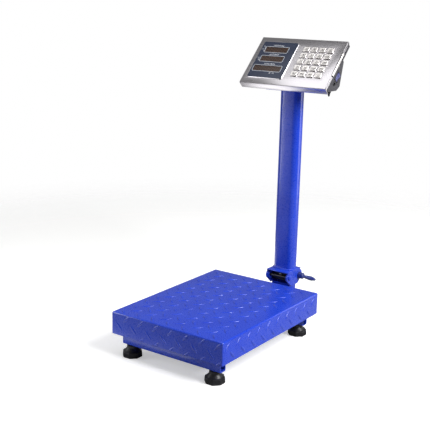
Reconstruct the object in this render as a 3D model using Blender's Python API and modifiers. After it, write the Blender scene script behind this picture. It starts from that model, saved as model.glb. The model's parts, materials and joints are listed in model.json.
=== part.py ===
"""Folding-column platform scale: a lift-off tray on a load cell, and a tilted indicator head on a mast.

Metres, +Z up. The origin is on the floor, in the middle of the scale's box. The user stands at -Y,
so left is -X and the mast is at the back.
"""
import math

import bmesh
import bpy
from mathutils import Matrix, Vector

MM = 0.001
GAP = 0.3 * MM  # clearance between pieces that touch
WELD = 0.001 * MM

# platform
PLATFORM_Y = -78.2 * MM  # middle of the weighing tray
TRAY_SIZE = (300 * MM, 400 * MM)
TRAY_TOP = 105 * MM
TRAY_SKIRT = 52 * MM
TRAY_SHEET = 3 * MM
TRAY_BEND = 4 * MM
PAD_RADIUS = 14 * MM
PAD_AT = (108 * MM, 140 * MM)

# base frame
BAR_LENGTH = 266 * MM
BAR_SECTION = (20 * MM, 30 * MM)
BAR_AT_Y = 172.5 * MM
BAR_BOTTOM = 27 * MM
TUBE_WALL = 2.5 * MM
TUBE_CORNER = 3 * MM
RAIL_AT_X = 60 * MM
RAIL_SECTION = (25 * MM, 25 * MM)
RAIL_BOTTOM = 30 * MM
TAIL_SECTION = (25 * MM, 22 * MM)
CELL_SIZE = (30 * MM, 130 * MM, 22 * MM)
CELL_BOTTOM = 40.3 * MM
CELL_SEAT = 40 * MM  # length of each bolted end of the load cell
FRAME_BOTTOM = 67 * MM
FRAME_SECTION = (25 * MM, 20 * MM)
FRAME_ARM_LENGTH = 250 * MM

# levelling feet
FOOT_AT = (113 * MM, BAR_AT_Y)
FOOT_RADIUS = 23.5 * MM
FOOT_HEIGHT = 13.5 * MM
SHOULDER_RADIUS = 19.5 * MM
STUD_RADIUS = 5 * MM
STUD_TOP = 46 * MM

# folding joint
PIVOT_Y = PLATFORM_Y + 267 * MM
PIVOT_Z = TRAY_TOP - 5 * MM
PIN_RADIUS = 3.5 * MM
BOLT_Y = PLATFORM_Y + 316 * MM
BOLT_Z = TRAY_TOP - 9 * MM
BOLT_RADIUS = 4 * MM
EAR_HALF = 27.7 * MM  # half width over the bracket's two ears
POST_HALF = 27.3 * MM
POST_FRONT = PLATFORM_Y + 278 * MM
POST_DEPTH = 31 * MM
POST_TOP = TRAY_TOP + 2 * MM
WINDOW_BOTTOM = TRAY_TOP - 25 * MM
CHEEK = 3 * MM  # thickness of the folding joint's plates
SHOE_HALF = 31 * MM
SHOE_Y = (PLATFORM_Y + 258 * MM, PLATFORM_Y + 324 * MM)
SHOE_TOP = TRAY_TOP + 10.5 * MM

# clamp lever, measured from the middle of its bolt
PADDLE_ROOT = Vector((38, 6, -2.6)) * MM
PADDLE_TIP = Vector((58, 39, -17)) * MM
PADDLE_RADII = (3.4, 3.7, 4.3, 5.0, 5.6, 5.9, 5.6, 4.4, 2.8)  # mm, along the grip

# mast
MAST_Y = PLATFORM_Y + 297 * MM
MAST_SECTION = (56 * MM, 36 * MM)
MAST_CORNER = 14 * MM
MAST_TOP = TRAY_TOP + 466.7 * MM
HEAD_PLATE = (128 * MM, 62 * MM, 3 * MM)

# indicator head; its own frame has X across, Y up the slope of the face and Z out of the face
HEAD_TILT = math.radians(45)
HEAD_Y = PLATFORM_Y + 239.5 * MM
HEAD_Z = TRAY_TOP + 479 * MM
FACE = (240 * MM, 150 * MM)
FACE_SHEET = 1.2 * MM
FACE_LIP = 6 * MM
FACE_APRON = 17 * MM  # the deeper wall along the lower edge
PANEL = (99 * MM, 116 * MM)
PANEL_AT = (-57 * MM, 76 * MM)
PAN_HALF = 118.5 * MM
PAN_DEPTH = 16 * MM
WEDGE_HALF = 116 * MM
SHELL = 2.5 * MM
HEAD_SEAT = 471 * MM  # the housing's flat underside, above the tray
GLAND_AT = (107 * MM, PLATFORM_Y + 283 * MM)
KEY = (17 * MM, 14.5 * MM)
KEY_PITCH = (21.8 * MM, 19.6 * MM)
KEY_FIRST = (20 * MM, 116.5 * MM)
KEY_RISE = 3.2 * MM
KEY_NAMES = (
    ("7", "8", "9", "clear"),
    ("4", "5", "6", "add"),
    ("1", "2", "3", "tare"),
    ("0", "point", "store", "zero"),
    ("m1", "m2", "m3", "light"),
)
WINDOWS = {
    "weight": ((64 * MM, 17 * MM), (-61 * MM, 108.5 * MM)),
    "unit_price": ((64 * MM, 17 * MM), (-61.5 * MM, 79 * MM)),
    "total_price": ((78 * MM, 17 * MM), (-61 * MM, 48 * MM)),
}
SWITCH = (22 * MM, 13 * MM)
SWITCH_AT = (63 * MM, 29 * MM)  # up the slope, and behind the face
SWITCH_TILT = math.radians(7)

ACROSS_X = (math.pi / 2, 0, math.pi / 2)  # a flat outline (y, z), thick along X
ACROSS_Y = (math.pi / 2, 0, 0)  # a flat outline (x, z), thick along Y


def clear_scene():
    for obj in list(bpy.data.objects):
        bpy.data.objects.remove(obj, do_unlink=True)


def new_collection(name):
    made = bpy.data.collections.new(name)
    bpy.context.scene.collection.children.link(made)
    return made


def new_material(name, colour, roughness, metallic=0.0):
    made = bpy.data.materials.new(name)
    made.use_nodes = True
    shader = made.node_tree.nodes["Principled BSDF"]
    shader.inputs["Base Color"].default_value = (*colour, 1.0)
    shader.inputs["Roughness"].default_value = roughness
    shader.inputs["Metallic"].default_value = metallic
    return made


def add(name, data, material, parent=None, at=(0, 0, 0), turned=(0, 0, 0)):
    """Put a mesh or curve in the parts collection, at a place under its parent."""
    data.materials.append(material)
    obj = bpy.data.objects.new(name, data)
    PARTS.objects.link(obj)
    obj.parent = parent
    obj.location = at
    obj.rotation_euler = turned
    return obj


def empty(name, at, turned=(0, 0, 0), parent=None):
    obj = bpy.data.objects.new(name, None)
    bpy.context.scene.collection.objects.link(obj)
    obj.parent = parent
    obj.location = at
    obj.rotation_euler = turned
    return obj


def box(name, size, centre, material, parent=None):
    """A box whose origin is its parent's."""
    shape = bmesh.new()
    bmesh.ops.create_cube(shape, size=1.0)
    bmesh.ops.scale(shape, vec=size, verts=shape.verts)
    bmesh.ops.translate(shape, vec=centre, verts=shape.verts)
    mesh = bpy.data.meshes.new(name)
    shape.to_mesh(mesh)
    shape.free()
    return add(name, mesh, material, parent)


def rounded(points, radii, steps=3):
    """A closed outline with each corner replaced by an arc that is tangent to both its sides."""
    if not isinstance(radii, (list, tuple)):
        radii = [radii] * len(points)
    outline = []
    for i, (point, radius) in enumerate(zip(points, radii)):
        corner = Vector(point)
        if not radius:
            outline.append(corner)
            continue
        before = (Vector(points[i - 1]) - corner).normalized()
        after = (Vector(points[(i + 1) % len(points)]) - corner).normalized()
        half = before.angle(after) / 2
        centre = corner + (before + after).normalized() * radius / math.sin(half)
        reach = radius / math.tan(half)
        start = corner + before * reach - centre
        end = corner + after * reach - centre
        for k in range(steps + 1):
            outline.append(centre + start.lerp(end, k / steps).normalized() * radius)
    return outline


def rectangle(width, height, radius=0.0, centre=(0, 0), steps=3):
    """A rectangle's outline with rounded corners."""
    x, y = centre
    w, h = width / 2, height / 2
    return rounded([(x - w, y - h), (x + w, y - h), (x + w, y + h), (x - w, y + h)], radius, steps)


def circle(radius, centre=(0, 0), steps=24):
    turn = 2 * math.pi / steps
    return [
        (centre[0] + radius * math.cos(k * turn), centre[1] + radius * math.sin(k * turn))
        for k in range(steps)
    ]


def plate(name, outlines, thickness, material, parent=None, at=(0, 0, 0), turned=(0, 0, 0)):
    """A flat outline, with holes where outlines nest, extruded evenly to both sides."""
    curve = bpy.data.curves.new(name, "CURVE")
    curve.dimensions = "2D"
    curve.fill_mode = "BOTH"
    curve.extrude = thickness / 2
    for outline in outlines:
        spline = curve.splines.new("POLY")
        spline.points.add(len(outline) - 1)
        for point, (x, y) in zip(spline.points, outline):
            point.co = (x, y, 0, 1)
        spline.use_cyclic_u = True
    return add(name, curve, material, parent, at, turned)


def as_mesh(obj):
    """Replace a curve or modified object with a mesh object of its evaluated shape, caps welded."""
    bpy.context.view_layer.update()
    graph = bpy.context.evaluated_depsgraph_get()
    mesh = bpy.data.meshes.new_from_object(obj.evaluated_get(graph))
    shape = bmesh.new()
    shape.from_mesh(mesh)
    bmesh.ops.remove_doubles(shape, verts=shape.verts, dist=WELD)
    bmesh.ops.recalc_face_normals(shape, faces=shape.faces)
    shape.to_mesh(mesh)
    shape.free()
    name, parent, place = obj.name, obj.parent, obj.matrix_world.copy()
    bpy.data.objects.remove(obj, do_unlink=True)
    piece = bpy.data.objects.new(name, mesh)
    PARTS.objects.link(piece)
    piece.parent = parent
    piece.matrix_world = place
    return piece


def turned_piece(name, profile, material, parent=None, at=(0, 0, 0), turned=(0, 0, 0), steps=24):
    """A solid of revolution about local Z, from (radius, height) pairs given top to bottom."""
    mesh = bpy.data.meshes.new(name)
    count = len(profile)
    edges = [(i, i + 1) for i in range(count - 1)]
    if profile[0][0]:
        edges.append((count - 1, 0))
    mesh.from_pydata([(r, 0, z) for r, z in profile], edges, [])
    obj = add(name, mesh, material, parent, at, turned)
    screw = obj.modifiers.new("turn", "SCREW")
    screw.steps = steps
    screw.render_steps = steps
    screw.use_merge_vertices = True
    screw.merge_threshold = WELD
    screw.use_smooth_shade = True
    return obj


def bevel(obj, width, segments=1, angle=40):
    made = obj.modifiers.new("bevel", "BEVEL")
    made.width = width
    made.segments = segments
    made.limit_method = "ANGLE"
    made.angle_limit = math.radians(angle)


def boolean(obj, tool, operation="DIFFERENCE"):
    """Cut a tool away from an object, or join it on, and put the tool with the cutters."""
    made = obj.modifiers.new(tool.name, "BOOLEAN")
    made.operation = operation
    made.object = tool
    tool.hide_render = True
    tool.display_type = "WIRE"
    PARTS.objects.unlink(tool)
    CUTTERS.objects.link(tool)


def join(obj, tool):
    boolean(obj, tool, "UNION")


def tube(name, section, length, material, at, turned, wall=TUBE_WALL, corner=TUBE_CORNER):
    """A rectangular steel tube, open at both ends."""
    width, height = section
    outer = rectangle(width, height, corner, steps=2)
    inner = rectangle(width - 2 * wall, height - 2 * wall, corner - wall * 0.6, steps=2)
    return plate(name, [outer, inner], length, material, None, at, turned)


def hole(radius, at, axis_turn=(0, 0, 0), length=40 * MM, steps=16, parent=None):
    """A round cutter."""
    return as_mesh(plate("hole", [circle(radius, steps=steps)], length, STEEL, parent, at, axis_turn))


def base_frame():
    """Two cross bars on the feet, two rails between them and two tails back to the mast."""
    for end, side in (("front", -1), ("rear", 1)):
        y = PLATFORM_Y + side * BAR_AT_Y
        middle = (0, y, BAR_BOTTOM + BAR_SECTION[1] / 2)
        bar = as_mesh(tube(f"base_{end}_bar", BAR_SECTION, BAR_LENGTH, BLUE, middle, ACROSS_X))
        for x in (-FOOT_AT[0], FOOT_AT[0]):
            boolean(bar, hole(STUD_RADIUS + 2 * GAP, (x, y, BAR_BOTTOM), length=10 * MM))
    between = 2 * BAR_AT_Y - BAR_SECTION[0] - 2 * GAP
    tail_start = PLATFORM_Y + BAR_AT_Y + BAR_SECTION[0] / 2 + GAP
    tail = POST_FRONT + POST_DEPTH - tail_start
    for side_name, side in (("left", -1), ("right", 1)):
        rail_at = (side * RAIL_AT_X, PLATFORM_Y, RAIL_BOTTOM + RAIL_SECTION[1] / 2)
        tube(f"base_{side_name}_rail", RAIL_SECTION, between, BLUE, rail_at, ACROSS_Y)
        tail_x = side * (POST_HALF + GAP + TAIL_SECTION[0] / 2)
        tail_at = (tail_x, tail_start + tail / 2, BAR_BOTTOM + TAIL_SECTION[1] / 2)
        tube(f"mast_{side_name}_tail", TAIL_SECTION, tail, BLUE, tail_at, ACROSS_Y)


def load_cell():
    """A binocular beam: two bores joined by a slot make the thin flexures that bend."""
    width, length, height = CELL_SIZE
    bore, reach = 7 * MM, 14 * MM
    centre = height / 2
    outer = rectangle(length, height, 1 * MM, (0, centre), steps=1)
    middle = (0, PLATFORM_Y, CELL_BOTTOM)
    cell = as_mesh(plate("load_cell", [outer], width, ALUMINIUM, None, middle, ACROSS_X))
    dip = math.asin(0.5)  # the slot is half as high as the bores
    eye = []
    for k in range(11):
        angle = dip + (2 * math.pi - 2 * dip) * k / 10
        eye.append((reach + bore * math.cos(angle + math.pi), centre + bore * math.sin(angle + math.pi)))
    outline = eye + [(-y, 2 * centre - z) for y, z in eye]
    slot = plate("binocular_slot", [outline], 2 * width, ALUMINIUM, None, middle, ACROSS_X)
    boolean(cell, as_mesh(slot))
    for y in (-(length / 2 - 8 * MM), -(length / 2 - 28 * MM), length / 2 - 28 * MM, length / 2 - 8 * MM):
        boolean(cell, hole(2.6 * MM, (0, PLATFORM_Y + y, CELL_BOTTOM + centre), steps=12))


def load_cell_mounts():
    """The plate that holds the cell's fixed end, and the frame that its free end carries."""
    inner = 2 * (RAIL_AT_X - RAIL_SECTION[0] / 2 - GAP)
    seat_y = PLATFORM_Y - CELL_SIZE[1] / 2 + CELL_SEAT / 2
    plate_top = CELL_BOTTOM - GAP - 4 * MM
    slab = 6 * MM
    seat = box("load_cell_plate", (inner, 70 * MM, slab), (0, seat_y, plate_top - slab / 2), BLUE)
    pad_size = (CELL_SIZE[0], CELL_SEAT - 4 * MM, 5 * MM)
    join(seat, box("fixed_pad", pad_size, (0, seat_y - 2 * MM, plate_top + 1.5 * MM), BLUE))

    frame_z = FRAME_BOTTOM + FRAME_SECTION[1] / 2
    beam_length = 2 * PAD_AT[1] - FRAME_SECTION[0] - 2 * GAP
    beam_at = (0, PLATFORM_Y, frame_z)
    beam = tube("load_frame_beam", (60 * MM, FRAME_SECTION[1]), beam_length, BLUE, beam_at, ACROSS_Y)
    beam = as_mesh(beam)
    pad_bottom = CELL_BOTTOM + CELL_SIZE[2] + GAP
    free_pad = (CELL_SIZE[0], CELL_SEAT - 4 * MM, FRAME_BOTTOM + 1 * MM - pad_bottom)
    free_y = PLATFORM_Y + CELL_SIZE[1] / 2 - CELL_SEAT / 2 + 2 * MM
    join(beam, box("free_pad", free_pad, (0, free_y, pad_bottom + free_pad[2] / 2), BLUE))
    for end, side in (("front", -1), ("rear", 1)):
        y = PLATFORM_Y + side * PAD_AT[1]
        tube(f"load_frame_{end}_arm", FRAME_SECTION, FRAME_ARM_LENGTH, BLUE, (0, y, frame_z), ACROSS_X)
        for side_name, across in (("left", -1), ("right", 1)):
            rubber_pad(f"rubber_pad_{end}_{side_name}", (across * PAD_AT[0], y))


def rubber_pad(name, at):
    """A rubber button that the tray rests on, dished on top."""
    bottom = FRAME_BOTTOM + FRAME_SECTION[1] + GAP
    height = TRAY_TOP - TRAY_SHEET - GAP - bottom
    profile = [
        (0, height - 1 * MM),
        (6 * MM, height - 1 * MM),
        (8 * MM, height),
        (PAD_RADIUS - 2.5 * MM, height),
        (PAD_RADIUS - 1 * MM, height - 1.5 * MM),
        (PAD_RADIUS, 2 * MM),
        (PAD_RADIUS, 0),
        (0, 0),
    ]
    turned_piece(name, profile, RUBBER, None, (*at, bottom), steps=20)


def weighing_tray():
    """An open box of folded plate: a top with four skirts, rounded along its bends."""
    x, y = TRAY_SIZE[0] / 2, TRAY_SIZE[1] / 2
    shape = bmesh.new()
    bmesh.ops.create_cube(shape, size=1.0)
    bmesh.ops.scale(shape, vec=(2 * x, 2 * y, TRAY_SKIRT), verts=shape.verts)
    bmesh.ops.translate(shape, vec=(0, PLATFORM_Y, TRAY_TOP - TRAY_SKIRT / 2), verts=shape.verts)
    floor = [face for face in shape.faces if face.normal.z < -0.5]
    bmesh.ops.delete(shape, geom=floor, context="FACES_ONLY")
    mesh = bpy.data.meshes.new("platform_cover")
    shape.to_mesh(mesh)
    shape.free()
    tray = add("platform_cover", mesh, BLUE)
    bevel(tray, TRAY_BEND, 3)
    wall = tray.modifiers.new("sheet", "SOLIDIFY")
    wall.thickness = TRAY_SHEET
    wall.offset = -1


def levelling_foot(name, across, along):
    """An eight-sided hand knob with a shoulder and collar on its threaded stud."""
    axis = empty(f"{name}_axis", (across * FOOT_AT[0], PLATFORM_Y + along * FOOT_AT[1], 0))
    shape = bmesh.new()
    turn = Matrix.Rotation(math.pi / 8, 4, "Z") @ Matrix.Translation((0, 0, FOOT_HEIGHT / 2))
    bmesh.ops.create_cone(
        shape,
        cap_ends=True,
        segments=8,
        radius1=FOOT_RADIUS,
        radius2=FOOT_RADIUS - 1.2 * MM,
        depth=FOOT_HEIGHT,
        matrix=turn,
    )
    mesh = bpy.data.meshes.new(name)
    shape.to_mesh(mesh)
    shape.free()
    foot = add(name, mesh, BLACK, axis)
    bevel(foot, 1.2 * MM, 2)
    collar_top = BAR_BOTTOM - GAP
    profile = [
        (0, STUD_TOP),
        (STUD_RADIUS - 1 * MM, STUD_TOP),
        (STUD_RADIUS, STUD_TOP - 1 * MM),
        (STUD_RADIUS, collar_top),
        (12 * MM, collar_top),
        (12.5 * MM, collar_top - 0.5 * MM),
        (12.5 * MM, 20.5 * MM),
        (14.5 * MM, 18.5 * MM),
        (SHOULDER_RADIUS, FOOT_HEIGHT + 0.5 * MM),
        (SHOULDER_RADIUS, FOOT_HEIGHT / 2),
        (0, FOOT_HEIGHT / 2),
    ]
    join(foot, turned_piece(f"{name}_shoulder", profile, BLACK, axis))


def cheek_outline(grow=0.0, front_cut=0.0):
    """The long octagon of the folding joint's side plates, as (y, z)."""
    y, z = PLATFORM_Y, TRAY_TOP
    low, high = -28 * MM - grow, 7.6 * MM + grow
    front, back = 255 * MM - grow, 330 * MM + grow
    return [
        (y + 262 * MM + front_cut, z + high),
        (y + 321 * MM, z + high),
        (y + back, z - 1 * MM),
        (y + back, z - 12 * MM),
        (y + 311 * MM, z + low),
        (y + 277 * MM, z + low),
        (y + front + front_cut / 2, z - 9 * MM),
        (y + front + front_cut / 2, z - 1 * MM),
    ]


def bolt_slot():
    """The path of the clamp bolt round the pivot, open at the top, as (y, z)."""
    arm = Vector((BOLT_Y - PIVOT_Y, BOLT_Z - PIVOT_Z))
    start, sweep = math.atan2(arm.y, arm.x), math.radians(32)
    half = BOLT_RADIUS + 2 * GAP
    outline = []
    for k in range(7):  # the round lower end
        angle = start - math.pi + math.pi * k / 6
        seat = arm + half * Vector((math.cos(angle), math.sin(angle)))
        outline.append((PIVOT_Y + seat.x, PIVOT_Z + seat.y))
    for radius, order in ((arm.length + half, (1, 2, 3)), (arm.length - half, (3, 2, 1))):
        for k in order:
            angle = start + sweep * k / 3
            outline.append((PIVOT_Y + radius * math.cos(angle), PIVOT_Z + radius * math.sin(angle)))
    return outline


def mast_bracket():
    """A square post with an open front and two ears; the ears carry the pin and seat the bolt."""
    middle_y = POST_FRONT + POST_DEPTH / 2
    outer = rectangle(2 * POST_HALF, POST_DEPTH, 3 * MM, steps=2)
    wall = 2.4 * MM
    inner = rectangle(2 * (POST_HALF - wall), POST_DEPTH - 2 * wall, 1 * MM, steps=1)
    height = POST_TOP - BAR_BOTTOM
    at = (0, middle_y, BAR_BOTTOM + height / 2)
    post = as_mesh(plate("mast_bracket", [outer, inner], height, BLUE, None, at))
    open_half, above = POST_HALF - 3.6 * MM, POST_TOP + 5 * MM
    opening = rounded(
        [
            (-open_half, WINDOW_BOTTOM),
            (open_half, WINDOW_BOTTOM),
            (open_half, above),
            (-open_half, above),
        ],
        [5 * MM, 5 * MM, 0, 0],
    )
    window = plate("front_window", [opening], 20 * MM, BLUE, None, (0, POST_FRONT - 5 * MM, 0), ACROSS_Y)
    boolean(post, as_mesh(window))
    ear = rounded(cheek_outline(-1 * MM, 4 * MM), 1.5 * MM, 2)
    for side in (-1, 1):
        at = (side * (EAR_HALF - CHEEK / 2), 0, 0)
        ears = plate(f"ear_{side}", [ear], CHEEK, BLUE, None, at, ACROSS_X)
        join(post, as_mesh(ears))
    slot = plate("bolt_slot", [bolt_slot()], 80 * MM, BLUE, None, (0, 0, 0), ACROSS_X)
    boolean(post, as_mesh(slot))
    boolean(post, hole(PIN_RADIUS + GAP, (0, PIVOT_Y, PIVOT_Z), ACROSS_X, 80 * MM))


def pivot_pin():
    """The rod that the mast folds about, with a domed head on the left and a clip on the right."""
    left, right = -SHOE_HALF - GAP, SHOE_HALF + GAP
    profile = [
        (0, right + 4 * MM),
        (PIN_RADIUS, right + 4 * MM),
        (PIN_RADIUS, right + 2 * MM),
        (6 * MM, right + 2 * MM),
        (6 * MM, right),
        (PIN_RADIUS, right),
        (PIN_RADIUS, left),
        (6.5 * MM, left),
        (6.5 * MM, left - 1.5 * MM),
        (4.5 * MM, left - 3.2 * MM),
        (0, left - 4 * MM),
    ]
    turned_piece("pivot_pin", profile, STEEL, None, (0, PIVOT_Y, PIVOT_Z), ACROSS_X, 16)


def mast_shoe(pivot):
    """The mast's foot: a top plate on two octagonal cheeks that straddle the bracket's ears."""
    thick = 3 * MM
    front, back = SHOE_Y
    size = (2 * SHOE_HALF, back - front, thick)
    centre = Vector((0, (front + back) / 2, SHOE_TOP - thick / 2)) - pivot.location
    shoe = box("mast_shoe", size, centre, BLUE, pivot)
    bevel(shoe, 1 * MM, 2)
    cheek = rounded(cheek_outline(0.4 * MM), 1.5 * MM, 2)
    for side in (-1, 1):
        at = Vector((side * (SHOE_HALF - CHEEK / 2), 0, 0)) - pivot.location
        join(shoe, as_mesh(plate(f"cheek_{side}", [cheek], CHEEK, BLUE, pivot, at, ACROSS_X)))
    bolt_at = Vector((0, BOLT_Y, BOLT_Z)) - pivot.location
    boolean(shoe, hole(PIN_RADIUS + GAP, (0, 0, 0), ACROSS_X, 80 * MM, parent=pivot))
    boolean(shoe, hole(BOLT_RADIUS + GAP, bolt_at, ACROSS_X, 80 * MM, parent=pivot))


def mast(pivot):
    """The upright tube and the flat plate on its top that carries the head."""
    bottom = SHOE_TOP + GAP
    length = MAST_TOP - bottom
    outer = rectangle(*MAST_SECTION, MAST_CORNER, steps=6)
    wall = 2 * MM
    inner_size = [side - 2 * wall for side in MAST_SECTION]
    inner = rectangle(*inner_size, MAST_CORNER - wall, steps=6)
    at = Vector((0, MAST_Y, bottom + length / 2)) - pivot.location
    plate("mast_tube", [outer, inner], length, BLUE, pivot, at)
    width, depth, thick = HEAD_PLATE
    outline = rectangle(width, depth, 4 * MM, steps=2)
    cable_hole = circle(9 * MM, (0, 8 * MM), 16)
    plate_at = Vector((0, PLATFORM_Y + 287 * MM, MAST_TOP + GAP + thick / 2)) - pivot.location
    plate("head_plate", [outline, cable_hole], thick, BLUE, pivot, plate_at)


def clamp(pivot):
    """The bolt through the shoe and the bracket's slots, and the hand lever that tightens it."""
    bolt_at = Vector((0, BOLT_Y, BOLT_Z)) - pivot.location
    end, left = 45 * MM, -SHOE_HALF - GAP
    profile = [
        (0, end),
        (BOLT_RADIUS - 0.6 * MM, end),
        (BOLT_RADIUS, end - 0.6 * MM),
        (BOLT_RADIUS, left),
        (7.5 * MM, left),
        (7.5 * MM, left - 3 * MM),
        (6 * MM, left - 4.5 * MM),
        (0, left - 4.5 * MM),
    ]
    turned_piece("clamp_bolt", profile, STEEL, pivot, bolt_at, ACROSS_X, 16)

    axis = empty("clamp_axis", bolt_at, parent=pivot)
    bore, inner, outer = BOLT_RADIUS + GAP, SHOE_HALF + GAP, end - 1 * MM
    hub = [
        (bore, outer),
        (7 * MM, outer),
        (8 * MM, outer - 1 * MM),
        (8 * MM, inner + 3 * MM),
        (9.5 * MM, inner + 1.5 * MM),
        (9.5 * MM, inner),
        (bore, inner),
    ]
    lever = as_mesh(turned_piece("clamp_handle", hub, BLUE, axis, turned=ACROSS_X))
    paddle = bpy.data.curves.new("paddle", "CURVE")
    paddle.dimensions = "3D"
    paddle.bevel_depth = 1 * MM
    paddle.bevel_resolution = 2
    paddle.use_fill_caps = True
    spline = paddle.splines.new("POLY")
    last = len(PADDLE_RADII) - 1
    spline.points.add(last)
    for k, point in enumerate(spline.points):
        point.co = (*PADDLE_ROOT.lerp(PADDLE_TIP, k / last), 1)
        point.radius = PADDLE_RADII[k]
    join(lever, as_mesh(add("paddle", paddle, BLUE, axis)))


def face_box(name, low, high, material, head):
    """A box in the head's frame between two corners."""
    low, high = Vector(low), Vector(high)
    return box(name, high - low, (low + high) / 2, material, head)


def key_places():
    """(name, x, up the slope) of each key."""
    for row, names in enumerate(KEY_NAMES):
        for column, name in enumerate(names):
            x = KEY_FIRST[0] + column * KEY_PITCH[0]
            yield f"key_{name}", x, KEY_FIRST[1] - row * KEY_PITCH[1]


def front_cover(head):
    """The folded steel front: a face with short lips, a deep lower apron, key holes and a window."""
    width, length = FACE
    half = width / 2
    cover = face_box("head_cover", (-half, 0, -FACE_APRON), (half, length, 0), STAINLESS, head)
    bevel(cover, 1.5 * MM, 2)
    inside = half - FACE_SHEET
    low, high = (-inside, FACE_SHEET, -40 * MM), (inside, length - FACE_SHEET, -FACE_SHEET)
    boolean(cover, face_box("inside", low, high, STAINLESS, head))
    low, high = (-half - 5 * MM, 2 * FACE_SHEET, -40 * MM), (half + 5 * MM, 170 * MM, -FACE_LIP)
    boolean(cover, face_box("below_lips", low, high, STAINLESS, head))
    window = rectangle(PANEL[0] - 6 * MM, PANEL[1] - 6 * MM, 3 * MM, PANEL_AT, steps=2)
    openings = [window]
    clear = 0.5 * MM
    for _, x, up in key_places():
        openings.append(rectangle(KEY[0] + 2 * clear, KEY[1] + 2 * clear, 2 * MM, (x, up), steps=2))
    boolean(cover, as_mesh(plate("face_openings", openings, 6 * MM, STAINLESS, head)))


def display(head):
    """The dark panel with three windows, and an LED module behind each."""
    outlines = [rectangle(*PANEL, 5 * MM, PANEL_AT)]
    for size, at in WINDOWS.values():
        outlines.append(rectangle(*size, 1.5 * MM, at, steps=2))
    thick = 1.5 * MM
    plate("display_panel", outlines, thick, SLATE, head, (0, 0, GAP + thick / 2))
    for name, (size, at) in WINDOWS.items():
        module = [side - 2 * GAP for side in size]
        outline = rectangle(*module, 1.2 * MM, at, steps=2)
        top, depth = GAP + thick - 0.4 * MM, 8 * MM
        plate(f"display_{name}", [outline], depth, LED_GLASS, head, (0, 0, top - depth / 2))


def keys(head):
    """Twenty metal caps with a retaining flange under the face; they share one mesh."""
    flange_size = (KEY[0] + 2.2 * MM, KEY[1] + 2.2 * MM)
    under = FACE_SHEET + 2 * GAP
    flange_thick = 1.2 * MM
    cap_bottom = -under - flange_thick / 2
    height = KEY_RISE - cap_bottom
    cap_at = (0, 0, cap_bottom + height / 2)
    cap = as_mesh(plate("cap", [rectangle(*KEY, 2 * MM, steps=2)], height, STAINLESS, head, cap_at))
    bevel(cap, 0.7 * MM)
    flange_at = (0, 0, -under - flange_thick / 2)
    flange = rectangle(*flange_size, 1.5 * MM, steps=1)
    join(cap, as_mesh(plate("flange", [flange], flange_thick, STAINLESS, head, flange_at)))
    bpy.context.view_layer.update()
    graph = bpy.context.evaluated_depsgraph_get()
    shape = bpy.data.meshes.new_from_object(cap.evaluated_get(graph))
    shape.transform(Matrix.Translation(cap_at))
    bpy.data.objects.remove(cap, do_unlink=True)
    for name, x, up in key_places():
        key = bpy.data.objects.new(name, shape)
        PARTS.objects.link(key)
        key.parent = head
        key.location = (x, up, 0)


def housing_outlines():
    """(pan, wedge, pan hollow, wedge hollow) outlines of the rear housing, as (y, z) of the scale."""

    def on_head(up, behind):
        along = math.cos(HEAD_TILT) * up + math.sin(HEAD_TILT) * behind
        rise = math.sin(HEAD_TILT) * up - math.cos(HEAD_TILT) * behind
        return HEAD_Y + along, HEAD_Z + rise

    y, z = PLATFORM_Y, TRAY_TOP
    seat = z + HEAD_SEAT  # the flat underside that stands on the head plate
    low, high, front = 1.5 * MM, FACE[1] - 1.5 * MM, FACE_SHEET + 2 * MM
    back_foot = (seat + HEAD_Y - HEAD_Z + PAN_DEPTH * math.sqrt(2), seat)
    pan = [
        on_head(low, front),
        (y + 249.2 * MM, seat),
        back_foot,
        on_head(high, PAN_DEPTH),
        on_head(high, front),
    ]
    wedge = [
        (y + 255 * MM, seat),
        (y + 302 * MM, seat),
        (y + 318 * MM, z + 480 * MM),
        (y + 333 * MM, z + 537 * MM),
        (y + 326 * MM, z + 545 * MM),
        on_head(90 * MM, 8 * MM),
        on_head(12 * MM, 8 * MM),
    ]
    pan_hollow = [
        on_head(low + SHELL, -5 * MM),
        on_head(low + SHELL, 8 * MM),
        on_head(9 * MM, PAN_DEPTH - SHELL),
        on_head(high - SHELL, PAN_DEPTH - SHELL),
        on_head(high - SHELL, -5 * MM),
    ]
    wedge_hollow = [
        (y + 262 * MM, seat + SHELL),
        (y + 301 * MM, seat + SHELL),
        (y + 315.8 * MM, z + 482 * MM),
        (y + 329.8 * MM, z + 535.5 * MM),
        on_head(94 * MM, PAN_DEPTH),
        on_head(88 * MM, 8 * MM),
        on_head(16 * MM, 8 * MM),
    ]
    return pan, wedge, pan_hollow, wedge_hollow


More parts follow.
